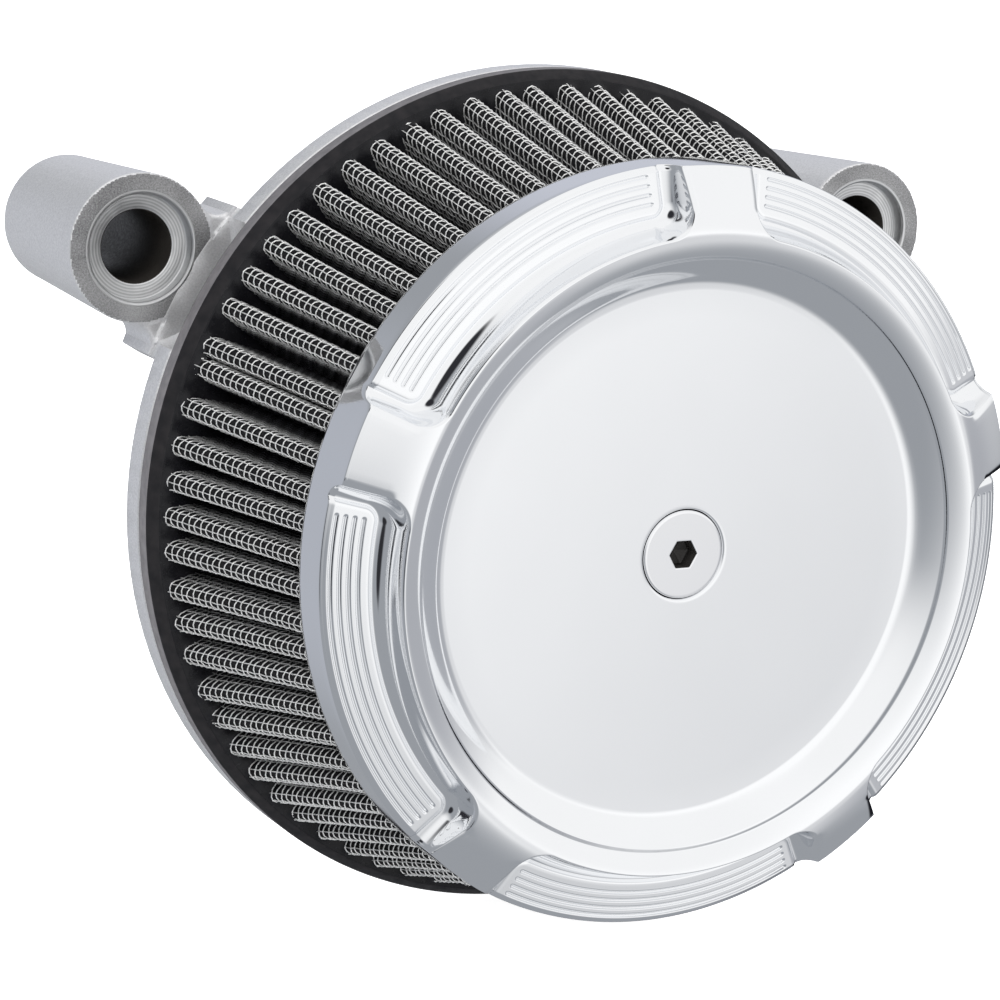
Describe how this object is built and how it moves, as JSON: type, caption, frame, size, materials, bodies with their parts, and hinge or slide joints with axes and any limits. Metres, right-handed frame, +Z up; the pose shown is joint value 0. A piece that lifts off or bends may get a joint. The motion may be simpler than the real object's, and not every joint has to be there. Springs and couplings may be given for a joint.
{
  "type": "air filter",
  "caption": "Round motorcycle air filter with a tapered pleated element, a domed chromed cover with grooved pockets, and a backing plate with two breather bosses.",
  "frame": {"origin": "centre of the throttle bore at the backing plate's rear mounting face", "axes": "+Y along the throttle bore towards the engine, so the cover faces -Y; +Z up, with the two breather bosses above the axis at -X and +X"},
  "size_m": [0.1804, 0.1108, 0.1588],
  "materials": {
    "cast_satin": "satin silver paint over a sand casting",
    "gasket_fibre": "matt fibre gasket",
    "black_rubber": "matt black",
    "machined_aluminium": "turned",
    "bracket_steel": "zinc plated",
    "nut_brass": "turned",
    "screw_steel": "black oxide",
    "urethane": "moulded, slightly glossy",
    "cotton_media": "dark oiled cotton gauze",
    "wire_mesh": "bright woven wire",
    "cover_chrome": "polished chrome",
    "screw_chrome": "polished chrome"
  },
  "bodies": {
    "mount": {"backing_plate": "cast_satin", "throttle_gasket": "gasket_fibre", "boss_o_rings": "black_rubber", "standoffs": "machined_aluminium", "cover_bracket": "bracket_steel", "bracket_nut": "nut_brass", "lock_washers": "bracket_steel", "throttle_screws": "screw_steel"},
    "element": {"rear_end_cap": "urethane", "filter_media": "cotton_media", "outer_wire_mesh": "wire_mesh", "inner_wire_mesh": "wire_mesh", "front_end_cap": "urethane"},
    "cover": {"cover": "cover_chrome"},
    "screw_carrier": {"screw_o_ring": "black_rubber"},
    "screw": {"cover_screw": "screw_chrome"}
  },
  "joints": [
    {"name": "element_lift", "type": "slide", "parent": "mount", "child": "element", "axis": [0, -1, 0], "range_m": [0, 0.06]},
    {"name": "cover_lift", "type": "slide", "parent": "element", "child": "cover", "axis": [0, -1, 0], "range_m": [0, 0.05]},
    {"name": "screw_travel", "type": "slide", "parent": "cover", "child": "screw_carrier", "axis": [0, -1, 0], "range_m": [0, 0.0115]},
    {"name": "screw_turn", "type": "hinge", "parent": "screw_carrier", "child": "screw", "pos_m": [0, -0.06, 0], "axis": [0, -1, 0], "range_deg": [0, 2880]}
  ],
  "couplings": [
    {"joint": "screw_travel", "follows": "screw_turn", "m_per_rad": 0.00022459}
  ]
}
